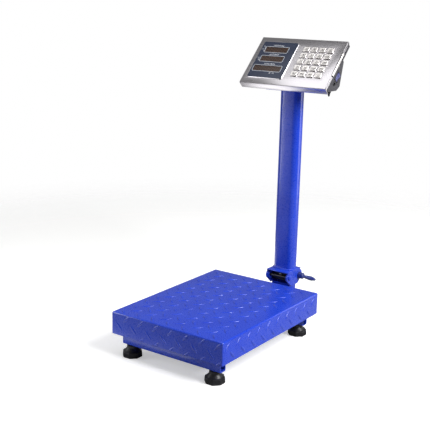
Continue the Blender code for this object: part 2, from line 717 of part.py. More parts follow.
def rear_housing(pivot):
    """The plastic back: a shallow pan behind the face and a wedge that stands on the head plate."""
    at = -pivot.location
    corner = 1.5 * MM
    pan, wedge, pan_hollow, wedge_hollow = housing_outlines()
    made = []
    for name, outline, half, radius in (
        ("rear_housing", pan, PAN_HALF, 0),
        ("wedge", wedge, WEDGE_HALF, corner),
        ("pan_hollow", pan_hollow, PAN_HALF - SHELL, 0),
        ("wedge_hollow", wedge_hollow, WEDGE_HALF - SHELL, 0),
    ):
        points = rounded(outline, radius, 2)
        made.append(as_mesh(plate(name, [points], 2 * half, GREY, pivot, at, ACROSS_X)))
    housing, block, hollow, pocket = made
    join(housing, block)
    bezel = face_plane_box(pivot, "switch_bezel", WEDGE_HALF - 2 * MM, WEDGE_HALF + 1 * MM, 2 * MM)
    join(housing, bezel)
    boolean(housing, hollow)
    boolean(housing, pocket)
    opening = face_plane_box(pivot, "switch_opening", WEDGE_HALF - 9 * MM, WEDGE_HALF + 9 * MM, GAP)
    boolean(housing, opening)
    socket_at = on_side(pivot, 42 * MM, 29 * MM, WEDGE_HALF)
    boolean(housing, hole(4 * MM + GAP, socket_at, ACROSS_X, 12 * MM, parent=pivot))
    for side in (-1, 1):
        for up in range(98, 144, 5):  # grip ribs along the upper sides
            ribs_at = on_side(pivot, up * MM, 11.5 * MM, side * PAN_HALF)
            rib = box(f"rib_{side}_{up}", (1.2 * MM, 1.6 * MM, 7.5 * MM), (0, 0, 0), GREY, pivot)
            rib.location = ribs_at
            rib.rotation_euler = (HEAD_TILT, 0, 0)
            boolean(housing, rib)


def on_side(pivot, up, behind, x):
    """A point on the head's side, given up the slope and behind the face, under the pivot."""
    y = HEAD_Y + math.cos(HEAD_TILT) * up + math.sin(HEAD_TILT) * behind
    z = HEAD_Z + math.sin(HEAD_TILT) * up - math.cos(HEAD_TILT) * behind
    return Vector((x, y, z)) - pivot.location


def face_plane_box(pivot, name, x_low, x_high, grow):
    """A box round the switch, turned with the face, between two distances across."""
    size = (x_high - x_low, SWITCH[0] + 2 * grow, SWITCH[1] + 2 * grow)
    made = box(name, size, (0, 0, 0), GREY, pivot)
    made.location = on_side(pivot, *SWITCH_AT, (x_low + x_high) / 2)
    made.rotation_euler = (HEAD_TILT, 0, 0)
    return made


def power_parts(pivot):
    """The rocker switch and the round charging socket in the right side of the housing."""
    centre = on_side(pivot, *SWITCH_AT, WEDGE_HALF - 3 * MM)
    axis = empty("switch_axis", centre, (HEAD_TILT, 0, 0), pivot)
    half, dip = SWITCH[0] / 2 - 1.2 * MM, 1.2 * MM
    face = 4.6 * MM
    outline = [
        (-half, -5 * MM),
        (half, -5 * MM),
        (half, face),
        (0, face - dip),
        (-half, face),
    ]
    turn = Matrix.Rotation(SWITCH_TILT, 2)
    outline = rounded([turn @ Vector(point) for point in outline], 0.5 * MM, 1)
    # the outline's second direction becomes X, out of the housing's side
    outline = [(out, along) for along, out in outline]
    thick = SWITCH[1] - 1 * MM
    plate("power_switch", [outline], thick, BLUE_GREY, axis)
    socket_at = on_side(pivot, 42 * MM, 29 * MM, WEDGE_HALF)
    profile = [
        (2.8 * MM, 1.2 * MM),
        (5 * MM, 1.2 * MM),
        (5.5 * MM, 0.7 * MM),
        (5.5 * MM, GAP),
        (4 * MM, GAP),
        (4 * MM, -7 * MM),
        (2.8 * MM, -7 * MM),
    ]
    turned_piece("power_socket", profile, BLACK, pivot, socket_at, ACROSS_X, 16)


def inside_head(head, pivot):
    """The circuit board behind the face and the battery in the foot of the wedge."""
    face_box("circuit_board", (-105 * MM, 20 * MM, -10.6 * MM), (105 * MM, 132 * MM, -9 * MM), BOARD, head)
    low = Vector((-45 * MM, PLATFORM_Y + 272 * MM, TRAY_TOP + 474 * MM)) - pivot.location
    size = Vector((90, 29, 19)) * MM
    battery = box("battery", size, low + size / 2, BLACK, pivot)
    bevel(battery, 1.5 * MM, 2)


def head_trim(head, pivot):
    """The steel strip on the head's right edge, and the cable gland under its front right corner."""
    out = FACE[0] / 2 + GAP
    strip = face_box("side_trim", (out, 42 * MM, -4.5 * MM), (out + 2 * MM, 112 * MM, 2.5 * MM), STAINLESS, head)
    bevel(strip, 0.6 * MM)
    seat = Vector((*GLAND_AT, TRAY_TOP + HEAD_SEAT - GAP)) - pivot.location
    profile = [
        (0, 0),
        (4.5 * MM, 0),
        (4.5 * MM, -3 * MM),
        (3.5 * MM, -4 * MM),
        (1.8 * MM, -12 * MM),
        (1.2 * MM, -12.5 * MM),
        (0, -12.5 * MM),
    ]
    turned_piece("cable_gland", profile, BLACK, pivot, seat, steps=16)


def build():
    base_frame()
    load_cell()
    load_cell_mounts()
    weighing_tray()
    for end, along in (("front", -1), ("rear", 1)):
        for side, across in (("left", -1), ("right", 1)):
            levelling_foot(f"foot_{end}_{side}", across, along)
    mast_bracket()
    pivot_pin()
    pivot = empty("mast_pivot", (0, PIVOT_Y, PIVOT_Z))
    mast_shoe(pivot)
    mast(pivot)
    clamp(pivot)
    head_at = Vector((0, HEAD_Y, HEAD_Z)) - pivot.location
    head = empty("head_frame", head_at, (HEAD_TILT, 0, 0), pivot)
    front_cover(head)
    display(head)
    keys(head)
    rear_housing(pivot)
    power_parts(pivot)
    inside_head(head, pivot)
    head_trim(head, pivot)


clear_scene()
PARTS = new_collection("platform_shipping_scale")
CUTTERS = new_collection("cutters")
BLUE = new_material("blue_enamel", (0.02, 0.05, 0.55), 0.25)
STEEL = new_material("zinc_plated_steel", (0.55, 0.56, 0.58), 0.35, 1.0)
STAINLESS = new_material("stainless_steel", (0.62, 0.61, 0.61), 0.32, 1.0)
ALUMINIUM = new_material("machined_aluminium", (0.7, 0.71, 0.72), 0.4, 1.0)
RUBBER = new_material("black_rubber", (0.02, 0.02, 0.02), 0.8)
BLACK = new_material("black_nylon", (0.015, 0.015, 0.016), 0.45)
GREY = new_material("dark_grey_abs", (0.05, 0.05, 0.06), 0.5)
SLATE = new_material("slate_panel", (0.035, 0.05, 0.08), 0.3)
LED_GLASS = new_material("smoked_red_filter", (0.03, 0.018, 0.015), 0.2)
BLUE_GREY = new_material("blue_grey_rocker", (0.10, 0.11, 0.25), 0.35)
BOARD = new_material("green_circuit_board", (0.02, 0.16, 0.07), 0.5)
build()
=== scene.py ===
import json
import math

import bmesh
import bpy
import numpy as np
from mathutils import Matrix, Vector

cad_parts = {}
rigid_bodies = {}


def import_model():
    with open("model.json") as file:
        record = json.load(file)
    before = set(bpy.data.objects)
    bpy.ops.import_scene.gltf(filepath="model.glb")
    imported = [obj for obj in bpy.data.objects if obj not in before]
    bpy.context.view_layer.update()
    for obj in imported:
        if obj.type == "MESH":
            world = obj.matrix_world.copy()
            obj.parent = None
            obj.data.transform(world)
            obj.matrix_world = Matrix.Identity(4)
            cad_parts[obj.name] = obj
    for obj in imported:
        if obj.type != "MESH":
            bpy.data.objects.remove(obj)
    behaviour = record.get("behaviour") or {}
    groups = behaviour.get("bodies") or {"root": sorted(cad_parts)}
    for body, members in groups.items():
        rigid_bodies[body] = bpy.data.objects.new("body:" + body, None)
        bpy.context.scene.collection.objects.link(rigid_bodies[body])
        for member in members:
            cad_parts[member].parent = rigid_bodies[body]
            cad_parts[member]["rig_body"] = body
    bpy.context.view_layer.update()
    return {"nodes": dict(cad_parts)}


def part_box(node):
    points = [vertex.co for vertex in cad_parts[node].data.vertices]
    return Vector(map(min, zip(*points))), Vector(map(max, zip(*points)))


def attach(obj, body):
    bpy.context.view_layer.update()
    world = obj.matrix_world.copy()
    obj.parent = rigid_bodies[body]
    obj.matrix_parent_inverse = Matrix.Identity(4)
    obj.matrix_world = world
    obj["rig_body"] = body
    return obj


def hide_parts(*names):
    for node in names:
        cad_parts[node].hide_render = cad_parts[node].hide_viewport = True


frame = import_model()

mm = 0.001
scene = bpy.context.scene

camera = {
    "place": (1.0876, -1.6646, 0.7907),
    "turn": 34.83,  # degrees to the right of straight ahead
    "dip": 14.02,  # degrees below the horizon
    "roll": 1.32,
    "lens": 73.82,  # mm on a 36 mm wide frame
}


def addCamera(facts):
    turn, dip, roll = (math.radians(facts[key]) for key in ("turn", "dip", "roll"))
    right = Vector((math.cos(turn), math.sin(turn), 0))
    ahead = Vector((-math.sin(turn) * math.cos(dip), math.cos(turn) * math.cos(dip), -math.sin(dip)))
    up = right.cross(ahead)
    rolledRight = math.cos(roll) * right + math.sin(roll) * up
    rolledUp = math.cos(roll) * up - math.sin(roll) * right
    made = bpy.data.objects.new("camera", bpy.data.cameras.new("camera"))
    made.data.lens = facts["lens"]
    made.data.sensor_width = 36
    made.matrix_world = Matrix((rolledRight, rolledUp, -ahead)).transposed().to_4x4()
    made.location = facts["place"]
    scene.collection.objects.link(made)
    scene.camera = made


addCamera(camera)
print("camera set")

# colour and material helpers


def fromHex(text):  # sRGB hex to linear, with alpha 1
    levels = [int(text[i : i + 2], 16) / 255 for i in (0, 2, 4)]
    linear = [level / 12.92 if level <= 0.04045 else ((level + 0.055) / 1.055) ** 2.4 for level in levels]
    return (*linear, 1.0)


def addNode(tree, kind, settings=None, links=None):
    made = tree.nodes.new("ShaderNode" + kind)
    for key, value in (settings or {}).items():
        if isinstance(key, int) or key in made.inputs:
            made.inputs[key].default_value = value
        else:
            setattr(made, key, value)
    for key, source in (links or {}).items():
        tree.links.new(source, made.inputs[key])
    return made


def startMaterial(name, settings):
    material = bpy.data.materials.new(name)
    material.use_nodes = True
    tree = material.node_tree
    shader = tree.nodes["Principled BSDF"]
    for key, value in settings.items():
        shader.inputs[key].default_value = value
    place = addNode(tree, "TexCoord").outputs["Object"]
    return material, tree, shader, place


def speckle(tree, place, size, detail=3.0, stretch=(1, 1, 1)):  # noise whose blobs are size metres across
    scaled = addNode(tree, "Mapping", {"Scale": [s / size for s in stretch]}, {"Vector": place})
    noise = addNode(tree, "TexNoise", {"Scale": 1.0, "Detail": detail}, {"Vector": scaled.outputs[0]})
    return noise.outputs["Fac"]


def blend(tree, factor, low, high, fromLow=0.35, fromHigh=0.65):  # two colours mixed by a noise
    ramp = addNode(tree, "ValToRGB", None, {"Fac": factor})
    ramp.color_ramp.elements[0].position = fromLow
    ramp.color_ramp.elements[0].color = low
    ramp.color_ramp.elements[1].position = fromHigh
    ramp.color_ramp.elements[1].color = high
    return ramp.outputs["Color"]


def spread(tree, factor, low, high):  # a noise stretched to run from low to high
    settings = {"From Min": 0.3, "From Max": 0.7, "To Min": low, "To Max": high}
    return addNode(tree, "MapRange", settings, {"Value": factor}).outputs["Result"]


def relief(tree, shader, factor, depth, strength=1.0):
    bump = addNode(tree, "Bump", {"Distance": depth, "Strength": strength}, {"Height": factor})
    tree.links.new(bump.outputs["Normal"], shader.inputs["Normal"])


def blueEnamel(name, dark, light):  # sprayed and stoved enamel on steel: deep, glossy, faintly rippled
    settings = {"IOR": 1.5, "Coat Weight": 0.35, "Coat Roughness": 0.12, "Coat IOR": 1.5}
    material, tree, shader, place = startMaterial(name, settings)
    cloud = speckle(tree, place, 60 * mm)
    ripple = speckle(tree, place, 2.5 * mm, 1.0)  # orange peel, drawn coarser than the real 1 mm
    colour = blend(tree, cloud, fromHex(dark), fromHex(light))
    tree.links.new(colour, shader.inputs["Base Color"])
    tree.links.new(spread(tree, ripple, 0.26, 0.31), shader.inputs["Roughness"])
    relief(tree, shader, ripple, 0.012 * mm, 0.2)
    return material


def stainless(name, light, dark, rough):  # satin ground sheet: fine streaks along X, soft wide gloss
    material, tree, shader, place = startMaterial(name, {"Metallic": 1.0, "Anisotropic": 0.4})
    streak = speckle(tree, place, 3 * mm, 4.0, (0.02, 1, 1))  # grit lines, drawn coarser than the real 0.2 mm
    smudge = speckle(tree, place, 40 * mm)
    tree.links.new(blend(tree, streak, fromHex(dark), fromHex(light)), shader.inputs["Base Color"])
    mixed = addNode(tree, "Math", {"operation": "MULTIPLY_ADD", 1: 0.4}, {0: smudge, 2: streak})
    tree.links.new(spread(tree, mixed.outputs[0], rough - 0.02, rough + 0.03), shader.inputs["Roughness"])
    relief(tree, shader, streak, 0.004 * mm, 0.05)
    return material


def zincPlate():  # bright passivated zinc: a blotchy, slightly warm grey metal
    material, tree, shader, place = startMaterial("brightZincPlate", {"Metallic": 1.0})
    blotch = speckle(tree, place, 5 * mm)
    tree.links.new(blend(tree, blotch, fromHex("9d9c98"), fromHex("c4c5c4")), shader.inputs["Base Color"])
    tree.links.new(spread(tree, blotch, 0.24, 0.4), shader.inputs["Roughness"])
    return material


def milledAluminium():  # end-milled and clear anodised: pale, with tool marks along the beam
    material, tree, shader, place = startMaterial("milledAluminium", {"Metallic": 1.0})
    marks = speckle(tree, place, 2 * mm, 2.0, (1, 0.05, 1))
    tree.links.new(blend(tree, marks, fromHex("b4b6b9"), fromHex("d3d5d8")), shader.inputs["Base Color"])
    tree.links.new(spread(tree, marks, 0.32, 0.46), shader.inputs["Roughness"])
    relief(tree, shader, marks, 0.03 * mm, 0.4)
    return material


def mouldedPlastic(name, dark, light, rough, grain, settings=None):  # a moulding with a spark-eroded grain
    material, tree, shader, place = startMaterial(name, {"IOR": 1.49, **(settings or {})})
    pebble = speckle(tree, place, grain, 2.0)
    cloud = speckle(tree, place, 30 * mm)
    tree.links.new(blend(tree, cloud, fromHex(dark), fromHex(light)), shader.inputs["Base Color"])
    tree.links.new(spread(tree, pebble, rough - 0.05, rough + 0.07), shader.inputs["Roughness"])
    relief(tree, shader, pebble, 0.06 * mm, 0.5)
    return material


overlayGloss = {"Specular IOR Level": 0.4}
filterGloss = {"Specular IOR Level": 0.35}
finishes = {
    "enamel": blueEnamel("stovedBlueEnamel", "1a3dc2", "2044ca"),
    # a darker copy of the blue enamel: painted shade on the clamp lever and the bolt's cap
    "lever": blueEnamel("shadeDarkenedBlueEnamel", "15256f", "1a2b7c"),
    # a darker copy of the stainless: painted shade for the dark inside of the joint's opening
    "shadeDarkSteel": stainless("shadeDarkenedSteel", "5f5d60", "454346", 0.26),  # for the rod in the joint
    "steel": stainless("satinStainless", "d4d1d5", "cbc8cc", 0.26),
    "keySteel": stainless("brightStainless", "f0ece9", "e6e2e0", 0.27),
    "zinc": zincPlate(),
    "aluminium": milledAluminium(),
    "nylon": mouldedPlastic("blackNylon", "131317", "1b1b20", 0.42, 1.2 * mm),
    "housing": mouldedPlastic("darkGreyAbs", "37363b", "403f45", 0.48, 1.0 * mm),
    "rubber": mouldedPlastic("blackRubber", "19191a", "222223", 0.8, 0.8 * mm),
    "slate": mouldedPlastic("slatePolycarbonate", "2a3145", "2f374b", 0.2, 2.5 * mm, overlayGloss),
    "filter": mouldedPlastic("smokedFilter", "2b211d", "312521", 0.17, 3 * mm, filterGloss),
    "segment": mouldedPlastic("unlitSegment", "513a2e", "5d4436", 0.17, 3 * mm, filterGloss),
    "print": mouldedPlastic("paleScreenPrint", "c3c7cf", "d2d5dc", 0.5, 0.7 * mm),
    "legend": mouldedPlastic("darkEtchedLegend", "3c3a3d", "4a484b", 0.55, 0.5 * mm),
    # the rocker's blue-grey tint is a painted reflection of the bluish sheen on the head's side
    "rocker": mouldedPlastic("reflectionTintedRocker", "3f4377", "4b5088", 0.3, 1 * mm),
    "board": mouldedPlastic("greenSolderMask", "0f5a2d", "15703a", 0.35, 2 * mm),
    "battery": mouldedPlastic("batterySleeve", "1d1f24", "262930", 0.3, 2 * mm),
}
print("materials made")

# shape helpers: a shape is a stack of rings, worked out as one array


def addPiece(name, mesh, finish, body, replaced=(), smooth=35):
    mesh.materials.clear()
    mesh.materials.append(finishes[finish])
    mesh.shade_smooth()
    mesh.set_sharp_from_angle(angle=math.radians(smooth))
    made = bpy.data.objects.new(name, mesh)
    scene.collection.objects.link(made)
    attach(made, body)
    if replaced:
        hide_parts(*replaced)
    return made


def meshOf(name, points, faces):
    mesh = bpy.data.meshes.new(name)
    mesh.from_pydata(np.asarray(points).reshape(-1, 3).tolist(), [], faces)
    shape = bmesh.new()
    shape.from_mesh(mesh)
    bmesh.ops.recalc_face_normals(shape, faces=shape.faces)
    shape.to_mesh(mesh)
    shape.free()
    return mesh


def ringFaces(rows, columns, wrap=False, start=0):
    # quads between neighbouring rings; point (i, j) is number start + i * columns + j
    i = np.arange(rows if wrap else rows - 1)[:, None]
    j = np.arange(columns)[None]
    after, beside = (i + 1) % rows, (j + 1) % columns
    corners = (i * columns + j, i * columns + beside, after * columns + beside, after * columns + j)
    faces = (start + np.stack(corners, -1).reshape(-1, 4)).tolist()
    if not wrap:
        last = start + (rows - 1) * columns
        faces.append(list(range(start, start + columns)))
        faces.append(list(range(last, last + columns)))
    return faces


def stackedRings(name, rings, wrap=False):  # rings is (rows, columns, 3); the ends are closed flat
    rings = np.asarray(rings, float)
    return meshOf(name, rings, ringFaces(rings.shape[0], rings.shape[1], wrap))


def manyStacks(name, stacks):  # several stacks of the same size in one mesh
    stacks = np.asarray(stacks, float)
    count, rows, columns = stacks.shape[:3]
    faces = []
    for k in range(count):
        faces += ringFaces(rows, columns, False, k * rows * columns)
    return meshOf(name, stacks, faces)


def roundedRing(width, depth, radius, corner=5):
    # four quarter circles about the corners' centres, joined by straight sides: (columns, 2)
    radius = max(radius, 0.02 * mm)
    turn = np.linspace(0, math.pi / 2, corner + 1)
    quarters = []
    for k, (sx, sy) in enumerate(((1, 1), (-1, 1), (-1, -1), (1, -1))):
        angle = turn + k * math.pi / 2
        centre = np.array([sx * (width / 2 - radius), sy * (depth / 2 - radius)])
        quarters.append(centre + radius * np.stack([np.cos(angle), np.sin(angle)], -1))
    return np.concatenate(quarters)


def raised(ring, z):  # a flat ring lifted to a height
    return np.column_stack([ring, np.full(len(ring), z)])


def roundedStack(width, depth, radius, section, corner=5, centre=(0, 0)):
    # section is (inset, z) pairs; each ring is the outline drawn in by its inset
    rings = []
    for inset, z in section:
        ring = roundedRing(width - 2 * inset, depth - 2 * inset, radius - inset, corner)
        rings.append(raised(ring + np.array(centre), z))
    return np.array(rings)


def quarterBend(radius, inset, z, steps=5):
    # (inset, z) pairs of a rounded edge, from the flat at height z to the upright at this inset
    angle = np.linspace(0, math.pi / 2, steps + 1)
    return [(inset + radius - radius * math.sin(a), z - radius + radius * math.cos(a)) for a in angle]


def turnedRings(profile, columns=48):  # (radius, height) pairs spun about Z
    angle = np.linspace(0, 2 * math.pi, columns, endpoint=False)
    rings = [np.column_stack([r * np.cos(angle), r * np.sin(angle), np.full(columns, z)]) for r, z in profile]
    return np.array(rings)


def moved(rings, matrix):  # points through a 4 x 4 matrix
    matrix = np.array(matrix)
    return np.asarray(rings) @ matrix[:3, :3].T + matrix[:3, 3]


def merged(mesh, reach, flat=None):  # doubled points joined, flat faces dissolved, normals turned outward
    shape = bmesh.new()
    shape.from_mesh(mesh)
    bmesh.ops.remove_doubles(shape, verts=shape.verts, dist=reach)
    if flat is not None:
        bmesh.ops.dissolve_limit(shape, angle_limit=flat, verts=shape.verts, edges=shape.edges)
    bmesh.ops.recalc_face_normals(shape, faces=shape.faces)
    shape.to_mesh(mesh)
    shape.free()


def softened(name, node, finish, width, steps=2, limit=35, smooth=40, reshape=None):
    # a CAD node's own shape, made whole again, reshaped if asked and given softly rounded edges
    cad = frame["nodes"][node]
    mesh = cad.data.copy()
    merged(mesh, 0.01 * mm, math.radians(0.5))
    if reshape:  # a function from the mesh's points to their new places
        points = np.empty(len(mesh.vertices) * 3, dtype=np.float32)
        mesh.vertices.foreach_get("co", points)
        mesh.vertices.foreach_set("co", reshape(points.reshape(-1, 3)).astype(np.float32).ravel())
        mesh.update()
    made = addPiece(name, mesh, finish, cad["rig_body"], (node,), smooth)
    edge = made.modifiers.new("softEdges", "BEVEL")
    edge.width = width
    edge.segments = steps
    edge.limit_method = "ANGLE"
    edge.angle_limit = math.radians(limit)
    edge.harden_normals = True


# the weighing tray

tray = {
    "bend": 4 * mm,
    "sheet": 3 * mm,
    "corner": 2.5 * mm,  # the welded upright corners
    "barLength": 29 * mm,
    "barWidth": 6.6 * mm,
    "barHeight": 1.3 * mm,
    "barPitch": (41.2 * mm, 40 * mm),  # between bars that lie the same way
    "barStart": (15.1 * mm, -4.2 * mm),  # from the tray's middle to one of them
    "flattened": (-13 * mm, 4 * mm),  # bars this near to a bend are pressed flat
    "skirtShift": 5 * mm,  # the bends stretch the sheet, so the skirts' bars lie lower
}
trayLow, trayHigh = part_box("platform_cover")
trayMiddle = (trayLow + trayHigh) / 2
trayHalf = (trayHigh - trayLow) / 2


def makeTray(facts):
    # one closed skin: down over the bend, along the skirt, round its edge and back up inside
    bend, sheet, edge = facts["bend"], facts["sheet"], 0.5 * mm
    section = quarterBend(bend, 0, trayHigh.z, 6)
    section += [(0, trayLow.z + edge), (edge, trayLow.z), (sheet - edge, trayLow.z)]
    section += [(sheet, trayLow.z + edge)]
    section += quarterBend(bend - sheet, sheet, trayHigh.z - sheet, 3)[::-1]
    size = 2 * trayHalf
    rings = roundedStack(size.x, size.y, facts["corner"], section, 4, trayMiddle[:2])
    addPiece("traySheet", stackedRings("traySheet", rings), "enamel", "tray", ("platform_cover",))


def foldSheet(points, facts):
    # flat sheet (across, along, proud) wrapped over the bends: past a bend's start the sheet turns
    # through an arc of its length and then runs straight down
    bend = facts["bend"]
    quarter = bend * math.pi / 2
    half = np.array([trayHalf.x, trayHalf.y])
    flat, proud = points[..., :2], points[..., 2]
    past = np.abs(flat) - (half - bend)
    over = past.max(-1) > 0
    axis = past.argmax(-1)
    longest = quarter + (trayHigh.z - trayLow.z) - bend - 0.4 * mm
    run = np.clip(np.take_along_axis(past, axis[..., None], -1)[..., 0], 0, longest)
    angle = np.minimum(run, quarter) / bend
    reach = (bend + proud) * np.sin(angle)
    height = (bend + proud) * np.cos(angle) - bend - np.maximum(run - quarter, 0)
    base = np.clip(flat, -(half - bend), half - bend)
    out = np.concatenate([base, proud[..., None]], -1)
    for k in (0, 1):
        chosen = over & (axis == k)
        edge = np.sign(flat[..., k]) * (half[k] - bend + reach)
        out[..., k] = np.where(chosen, edge, out[..., k])
    out[..., 2] = np.where(over, height, proud)
    return out + np.array([trayMiddle.x, trayMiddle.y, trayHigh.z])


def makeTread(facts):
    # willow-leaf bars: half width falls as 1 - s * s towards both tips, and the height with it
    pitchX, pitchY = facts["barPitch"]
    startX, startY = facts["barStart"]
    s = np.linspace(-1, 1, 9)
    plump = np.maximum(1 - s**2, 0.04)
    across = np.array([-1, -0.62, 0, 0.62, 1, 1, -1])
    lift = np.array([0, 0.72, 1, 0.72, 0, -0.35, -0.35])
    bar = np.zeros((len(s), len(across), 3))
    bar[..., 0] = s[:, None] * facts["barLength"] / 2
    bar[..., 1] = plump[:, None] * across * facts["barWidth"] / 2
    bar[..., 2] = np.where(lift > 0, lift * plump[:, None] ** 0.7, lift) * facts["barHeight"]
    skirt = trayHigh.z - trayLow.z
    bars = []
    for i in range(-6, 7):
        for j in range(-7, 8):
            for lean, half in ((45, 0), (-45, 0.5)):
                x, y = startX + (i + half) * pitchX, startY + (j + half) * pitchY
                beyondX, beyondY = abs(x) - trayHalf.x, abs(y) - trayHalf.y
                beyond = max(beyondX, beyondY)
                if facts["flattened"][0] < beyond < facts["flattened"][1] or beyond > skirt - 6 * mm:
                    continue
                if beyond > 0 and min(beyondX, beyondY) > -9 * mm:
                    continue
                if beyond > 0 and beyondX > beyondY:
                    x += math.copysign(facts["skirtShift"], x)
                elif beyond > 0:
                    y += math.copysign(facts["skirtShift"], y)
                turn = np.array(Matrix.Rotation(math.radians(lean), 3, "Z"))
                bars.append(foldSheet(bar @ turn.T + np.array([x, y, 0]), facts))
    addPiece("trayTreadBars", manyStacks("trayTreadBars", bars), "enamel", "tray", (), 60)


makeTray(tray)
makeTread(tray)
print("tray done")

# levelling feet

foot = {
    "flat": 21.4 * mm,  # half the distance over the knob's flats
    "rim": 13.5 * mm,
    "teeth": 56,
    "toothDepth": 0.8 * mm,
    "columns": 288,
}


def makeFoot(name, node, facts):
    # radius(angle, height): an octagon with its corners cut to a circle, serrated round the rim,
    # giving way to a plain round shoulder and collar above
    low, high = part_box(node)
    centre = (low + high) / 2
    angle = np.linspace(0, 2 * math.pi, facts["columns"], endpoint=False)
    nearest = (angle + math.pi / 8) % (math.pi / 4) - math.pi / 8
    octagon = np.minimum(1 / np.cos(nearest), 1.062)
    tooth = np.abs(((angle * facts["teeth"] / (2 * math.pi)) % 1) - 0.5) * 2 - 1
    flat, rim = facts["flat"], facts["rim"]
    rows = [  # (radius, height, how octagonal, how serrated)
        (flat - 9 * mm, 0.6 * mm, 0, 0),
        (flat - 8 * mm, 0, 0, 0),
        (flat - 1.6 * mm, 0, 1, 0),
        (flat - 0.5 * mm, 0.5 * mm, 1, 0),
        (flat, 1.8 * mm, 1, 0),
        (flat, 2.4 * mm, 1, 1),
        (flat - 0.5 * mm, rim - 2.6 * mm, 1, 1),
        (flat - 0.6 * mm, rim - 2.0 * mm, 1, 0),
        (flat - 1.3 * mm, rim - 0.4 * mm, 1, 0),
        (flat - 2.6 * mm, rim, 0.8, 0),
        (flat - 3.2 * mm, rim + 0.3 * mm, 0, 0),
        (14.5 * mm, 18.6 * mm, 0, 0),
        (13.0 * mm, 20.2 * mm, 0, 0),
        (12.5 * mm, 21.2 * mm, 0, 0),
        (12.5 * mm, 26 * mm, 0, 0),
        (11.9 * mm, 26.6 * mm, 0, 0),
        (5.0 * mm, 26.6 * mm, 0, 0),
        (5.0 * mm, 45 * mm, 0, 0),
        (4.2 * mm, 45.9 * mm, 0, 0),
    ]
    rings = []
    for radius, z, edged, cut in rows:
        r = radius * (1 + edged * (octagon - 1)) + cut * tooth * facts["toothDepth"]
        rings.append(np.column_stack([r * np.cos(angle), r * np.sin(angle), np.full(len(r), z)]))
    rings = np.array(rings) + np.array([centre.x, centre.y, low.z])
    body = frame["nodes"][node]["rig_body"]
    addPiece(name, stackedRings(name, rings), "nylon", body, (node,), 32)


for end in ("front", "rear"):
    for side in ("left", "right"):
        makeFoot(f"foot{end.title()}{side.title()}", f"foot_{end}_{side}", foot)
print("feet done")

# steel structure kept from the CAD shapes, with soft edges

for node in (
    "base_front_bar",
    "base_rear_bar",
    "base_left_rail",
    "base_right_rail",
    "mast_left_tail",
    "mast_right_tail",
    "load_cell_plate",
    "load_frame_beam",
    "load_frame_front_arm",
    "load_frame_rear_arm",
    "mast_bracket",
    "mast_shoe",
    "head_plate",
):
    softened(node.title().replace("_", "") + "Soft", node, "enamel", 0.4 * mm)
# the lever takes the darker enamel, which is painted shade
softened("clampLever", "clamp_handle", "lever", 0.3 * mm, 2, 45, 60)
softened("loadCellBeam", "load_cell", "aluminium", 0.3 * mm)
# the rod in darkened steel: painted shade of the joint's opening
softened("pivotRod", "pivot_pin", "shadeDarkSteel", 0.3 * mm)
softened("clampBoltShank", "clamp_bolt", "zinc", 0.3 * mm)
for end in ("front", "rear"):
    for side in ("left", "right"):
        softened(f"pad{end.title()}{side.title()}", f"rubber_pad_{end}_{side}", "rubber", 0.3 * mm)

mast = {"corner": 14 * mm, "wall": 2 * mm, "bead": 2.2 * mm}


def makeMast(facts):
    # a hollow tube: the outer skin up, over the rim, and down inside
    low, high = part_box("mast_tube")
    size, middle = high - low, (low + high) / 2
    wall, edge = facts["wall"], 0.4 * mm
    section = [(0, low.z + edge), (0, high.z - edge), (edge, high.z), (wall - edge, high.z)]
    section += [(wall, high.z - edge), (wall, low.z + edge), (wall - edge, low.z), (edge, low.z)]
    rings = roundedStack(size.x, size.y, facts["corner"], section, 14, middle[:2])
    addPiece("mastTube", stackedRings("mastTube", rings, True), "enamel", "mast", ("mast_tube",))
    for name, z in (("weldFoot", low.z + 0.8 * mm), ("weldHead", high.z - 0.8 * mm)):
        makeBead(name, size, middle, z, facts)


def makeBead(name, size, middle, z, facts):
    # a weld bead: a ring of small circles along the tube's outline whose radius ripples with each puddle
    path = roundedRing(size.x + 0.6 * mm, size.y + 0.6 * mm, facts["corner"], 12)
    path = np.concatenate([path, path[:1]])
    steps = np.linalg.norm(np.diff(path, axis=0), axis=1)
    length = np.concatenate([[0], np.cumsum(steps)])
    along = np.linspace(0, length[-1], 260, endpoint=False)
    line = np.column_stack([np.interp(along, length, path[:, k]) for k in (0, 1)])
    ahead = np.roll(line, -1, 0) - np.roll(line, 1, 0)
    ahead /= np.linalg.norm(ahead, axis=1)[:, None]
    out = np.column_stack([ahead[:, 1], -ahead[:, 0]])
    puddles = round(length[-1] / (3.2 * mm))
    wave = 1 + 0.16 * np.abs(np.sin(math.pi * puddles * along / length[-1]))
    around = np.linspace(0, 2 * math.pi, 10, endpoint=False)
    r = facts["bead"] * wave[:, None]
    rings = np.zeros((len(line), len(around), 3))
    rings[..., :2] = line[:, None] + out[:, None] * (r * np.cos(around))[..., None]
    rings[..., 2] = r * np.sin(around) * 0.8
    rings += np.array([middle.x, middle.y, z])
    addPiece(name, stackedRings(name, rings, True), "enamel", "mast", (), 80)


makeMast(mast)
print("structure done")

# the indicator head; its frame has x across, y up the face and z out of the face

head = {
    "low": (0, 0.1613, 0.584),  # the middle of the face's lower edge
    "tilt": 45,
    "keySize": (17 * mm, 14.5 * mm),
    "keyRise": 3.2 * mm,
    "keyPitch": (21.8 * mm, 19.6 * mm),
    "firstKey": (20 * mm, 116.5 * mm),
    "panelSize": (99 * mm, 116 * mm),
    "panelMiddle": (-57 * mm, 76 * mm),
    "panelTop": 1.8 * mm,
}
headMatrix = Matrix.Translation(head["low"]) @ Matrix.Rotation(math.radians(head["tilt"]), 4, "X")

def onHead(name, rings, finish, body="mast", replaced=(), wrap=False, smooth=35):
    mesh = stackedRings(name, moved(rings, headMatrix), wrap)
    addPiece(name, mesh, finish, body, replaced, smooth)


plateLow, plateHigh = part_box("head_plate")
lip = {"deep": 3.2 * mm, "thick": 2.2 * mm, "short": 12 * mm}  # the plate's front edge is folded down


